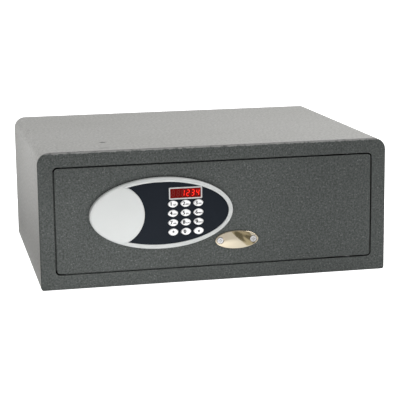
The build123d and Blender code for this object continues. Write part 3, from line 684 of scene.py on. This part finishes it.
def key_ring(grown, shrink=1.0):
    """Pointed oval with rounded tips, drawn out by grown, then scaled by shrink about its middle."""
    tip_x = sqrt((KEY_ARC_R - KEY_TIP_R) ** 2 - KEY_ARC_SHIFT ** 2)
    turn = atan2(KEY_ARC_SHIFT, tip_x)
    tip_r = KEY_TIP_R + grown
    arc_r = KEY_ARC_R + grown
    ring = []
    for side in (0, pi):
        for i in range(KEY_TIP_STEPS):
            angle = side - turn + 2 * turn * i / KEY_TIP_STEPS
            ring.append((tip_x * cos(side) + tip_r * cos(angle), tip_r * sin(angle)))
        for i in range(KEY_ARC_STEPS):
            angle = side + turn + (pi - 2 * turn) * i / KEY_ARC_STEPS
            ring.append((arc_r * cos(angle), arc_r * sin(angle) - KEY_ARC_SHIFT * cos(side)))
    return [(x * shrink, z * shrink) for x, z in ring]


def key_face(x, z):
    """How far the key's crowned face lies behind its foremost point."""
    return KEY_CROWN * ((x / KEY_HALF[0]) ** 2 + (z / KEY_HALF[1]) ** 2)


def key_rings(middle, front, back):
    """Rings of a key from its back, over the flange and the edge, to the middle of its face."""
    step = back - KEY_FLANGE_DEPTH
    profile = [(KEY_FLANGE, back), (KEY_FLANGE, step), (0.0, step)]
    profile += [(grown, front + depth) for grown, depth in KEY_EDGE]
    rings = []
    for grown, y in profile:
        rings.append([(middle.x + x, y, middle.z + z) for x, z in key_ring(grown)])
    for share in KEY_FACE_SHARES:
        rings.append([(middle.x + x, front + key_face(x, z), middle.z + z)
                      for x, z in key_ring(KEY_FACE_GROWN, share)])
    return rings


def make_keys():
    for name in KEY_LEGENDS:
        node_name = "key_" + name
        middle, low, high = box_mm(node_name)
        cap = build("keycap_" + name, [loft(key_rings(middle, low.y, high.y))], "key_plastic", node_name)
        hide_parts(node_name)
        make_legend(name, node_name, middle, low.y)


def text_triangles(text, size, at):
    """Flat text in front view: points (x, z) in millimetres, faces, and the edges on its outlines."""
    curve = bpy.data.curves.new("words", "FONT")
    curve.body = text
    curve.size = size
    curve.align_x = "CENTER"
    curve.align_y = "CENTER"
    words = bpy.data.objects.new("words", curve)
    mesh = bpy.data.meshes.new_from_object(words)
    points = [(at[0] + vertex.co.x, at[1] + vertex.co.y) for vertex in mesh.vertices]
    faces = [tuple(polygon.vertices) for polygon in mesh.polygons]
    edges = dict.fromkeys(edge for face in faces for edge in zip(face, face[1:] + face[:1]))
    rim = [(a, b) for a, b in edges if (b, a) not in edges]
    bpy.data.objects.remove(words)
    bpy.data.curves.remove(curve)
    bpy.data.meshes.remove(mesh)
    return points, faces, rim


def legend_lines(name):
    """Text, size and place (x, z) of each thing printed on a key."""
    letters = KEY_LEGENDS[name]
    if name in KEY_SIGNS:
        return [KEY_SIGNS[name]]
    if not letters:
        return [(name, DIGIT_SIZE, LONE_DIGIT_X, DIGIT_Z)]
    return [(name, DIGIT_SIZE, DIGIT_X, DIGIT_Z), (letters, LETTERS_SIZE, *LETTERS_AT)]


def make_legend(name, body, middle, front):
    """The key's printing, as a thin layer standing on its crowned face."""
    parts = [text_triangles(text, size, (x + shift * size, z)) for text, size, x, z in legend_lines(name)
             for shift in LEGEND_SHIFTS]
    shells = []
    for number, (points, faces, rim) in enumerate(parts):
        count = len(points)
        skin = []
        for proud in (LEGEND_PROUD + LEGEND_STEP * number, -LEGEND_SUNK):
            skin += [Vector((middle.x + x, front + key_face(x, z) - proud, middle.z + z)) * MM
                     for x, z in points]
        walls = [(a, b, b + count, a + count) for a, b in rim]
        rear = [tuple(i + count for i in reversed(face)) for face in faces]
        shells.append((skin, faces + rear + walls))
    build("legend_" + name, shells, "legend_ink", body)


# ---- display ------------------------------------------------------------------------------------
DISPLAY_TEXT = "  1234"
SEGMENTS_OF = {" ": "", "1": "bc", "2": "abged", "3": "abgcd", "4": "fgbc"}
DISPLAY_MARGIN = 0.8                # clear of digits at each end of the window
DIGIT_W = 4.1
DIGIT_H = 8.3
STROKE = 1.15
SEGMENT_GAP = 0.12
SEGMENT_Y = (0.05, -0.03)           # back and front, from the window's face
SLANT = 0.12


def segment_outline(letter):
    """Six-cornered bar of a seven-segment digit, in the digit's own millimetres."""
    half_w = DIGIT_W / 2 - STROKE / 2
    half_h = DIGIT_H / 2 - STROKE / 2
    ends = {"a": ((-half_w, half_h), (half_w, half_h)), "b": ((half_w, 0), (half_w, half_h)),
            "c": ((half_w, -half_h), (half_w, 0)), "d": ((-half_w, -half_h), (half_w, -half_h)),
            "e": ((-half_w, -half_h), (-half_w, 0)), "f": ((-half_w, 0), (-half_w, half_h)),
            "g": ((-half_w, 0), (half_w, 0))}[letter]
    gap = SEGMENT_GAP
    half = STROKE / 2
    (x0, z0), (x1, z1) = ends
    if z0 == z1:
        bar = [(x0 + gap, z0), (x0 + gap + half, z0 + half), (x1 - gap - half, z0 + half),
               (x1 - gap, z0), (x1 - gap - half, z0 - half), (x0 + gap + half, z0 - half)]
    else:
        bar = [(x0, z0 + gap), (x0 + half, z0 + gap + half), (x0 + half, z1 - gap - half),
               (x0, z1 - gap), (x0 - half, z1 - gap - half), (x0 - half, z0 + gap + half)]
    return [(x + z * SLANT, z) for x, z in bar]


def make_display():
    """Every segment of every place, gathered into one lit piece and one dim piece."""
    middle, low, high = box_mm("display_window")
    pitch = (high.x - low.x - 2 * DISPLAY_MARGIN) / len(DISPLAY_TEXT)
    lit = []
    dim = []
    for place, sign in enumerate(DISPLAY_TEXT):
        centre_x = low.x + DISPLAY_MARGIN + pitch * (place + 0.5)
        for letter in "abcdefg":
            rings = [[(centre_x + x, y, middle.z + z) for x, z in segment_outline(letter)]
                     for y in (low.y + SEGMENT_Y[0], low.y + SEGMENT_Y[1])]
            group = lit if letter in SEGMENTS_OF[sign] else dim
            group.append(loft(rings))
    build("display_lit_segments", lit, "display_lit", "door")
    build("display_dim_segments", dim, "display_dim", "door")


# ---- floor mat ----------------------------------------------------------------------------------
MAT_CELL = 4.0
MAT_CORNER = 6.0                    # corner radius
MAT_EDGE = 3.0                      # width of the rounded-over edge
MAT_EDGE_DROP = 0.9
MAT_WAVE = 45.0                     # length and height of the unevenness
MAT_WAVE_HEIGHT = 0.25
MAT_WAVE_DROP = 0.12
MAT_HOLES = ((-150.0, 40.0), (150.0, 40.0))
MAT_HOLE_R = 12.0


def mat_place(x, y, low, high):
    """Draws a point near a corner of the mat in onto the corner's round."""
    inner_x = max(low.x + MAT_CORNER, min(high.x - MAT_CORNER, x))
    inner_y = max(low.y + MAT_CORNER, min(high.y - MAT_CORNER, y))
    off = Vector((x - inner_x, y - inner_y))
    if off.length > MAT_CORNER:
        off *= MAT_CORNER / off.length
    return inner_x + off.x, inner_y + off.y


def mat_top(x, y, low, high):
    """Height of the mat's face: slightly uneven, and rounded over at the edge."""
    edge = min(x - low.x, high.x - x, y - low.y, high.y - y)
    rounded = MAT_EDGE_DROP * max(0.0, 1 - edge / MAT_EDGE) ** 2
    uneven = MAT_WAVE_HEIGHT * noise.noise(Vector((x / MAT_WAVE, y / MAT_WAVE, 0.3))) - MAT_WAVE_DROP
    return high.z + min(0.0, uneven) - rounded


def mat_shell(low, high):
    """Grid of the mat's face, the same grid for its underside, and the wall round both."""
    across = round((high.x - low.x) / MAT_CELL)
    along = round((high.y - low.y) / MAT_CELL)
    columns = [low.x + (high.x - low.x) * i / across for i in range(across + 1)]
    rows = [low.y + (high.y - low.y) * j / along for j in range(along + 1)]
    places = [mat_place(x, y, low, high) for y in rows for x in columns]
    upper = [Vector((x, y, mat_top(x, y, low, high))) * MM for x, y in places]
    lower = [Vector((x, y, low.z)) * MM for x, y in places]
    width = across + 1
    count = len(places)
    starts = [j * width + i for j in range(along) for i in range(across)]
    faces = [(a, a + 1, a + 1 + width, a + width) for a in starts]
    faces += [tuple(i + count for i in reversed(face)) for face in faces]
    rim = list(range(width))
    rim += [j * width + across for j in range(1, along + 1)]
    rim += [along * width + i for i in range(across - 1, -1, -1)]
    rim += [j * width for j in range(along - 1, 0, -1)]
    for a, b in zip(rim, rim[1:] + rim[:1]):
        faces.append((a, a + count, b + count, b))
    return upper + lower, faces


def make_mat():
    """Felt mat, laid on the base."""
    low, high = box_mm("floor_mat")[1:]
    mat = build("felt_mat", [mat_shell(low, high)], "mat_felt", "case")
    cut_anchor_holes(mat, low.z - 2, high.z + 2)
    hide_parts("floor_mat")


def cut_anchor_holes(mat, bottom, top):
    """Two round holes through the mat, over the anchor holes of the base."""
    turns = [2 * pi * i / 48 for i in range(48)]
    for x, y in MAT_HOLES:
        rings = [[(x + MAT_HOLE_R * cos(turn), y + MAT_HOLE_R * sin(turn), height) for turn in turns]
                 for height in (bottom, top)]
        cutter = build("cutter", [loft(rings)], "mat_felt", "case")
        cut = mat.modifiers.new("hole", "BOOLEAN")
        cut.operation = "DIFFERENCE"
        cut.object = cutter
        cut.solver = "EXACT"
        bpy.context.view_layer.update()
        shape = bpy.data.meshes.new_from_object(mat.evaluated_get(bpy.context.evaluated_depsgraph_get()))
        mat.modifiers.clear()
        mat.data = shape
        shape.name = "felt_mat"
        bpy.data.objects.remove(cutter)


# ---- all together -------------------------------------------------------------------------------
make_materials()
make_camera()
make_stage()
dress_cad_nodes()
make_bezel()
make_keys()
make_display()
make_mat()
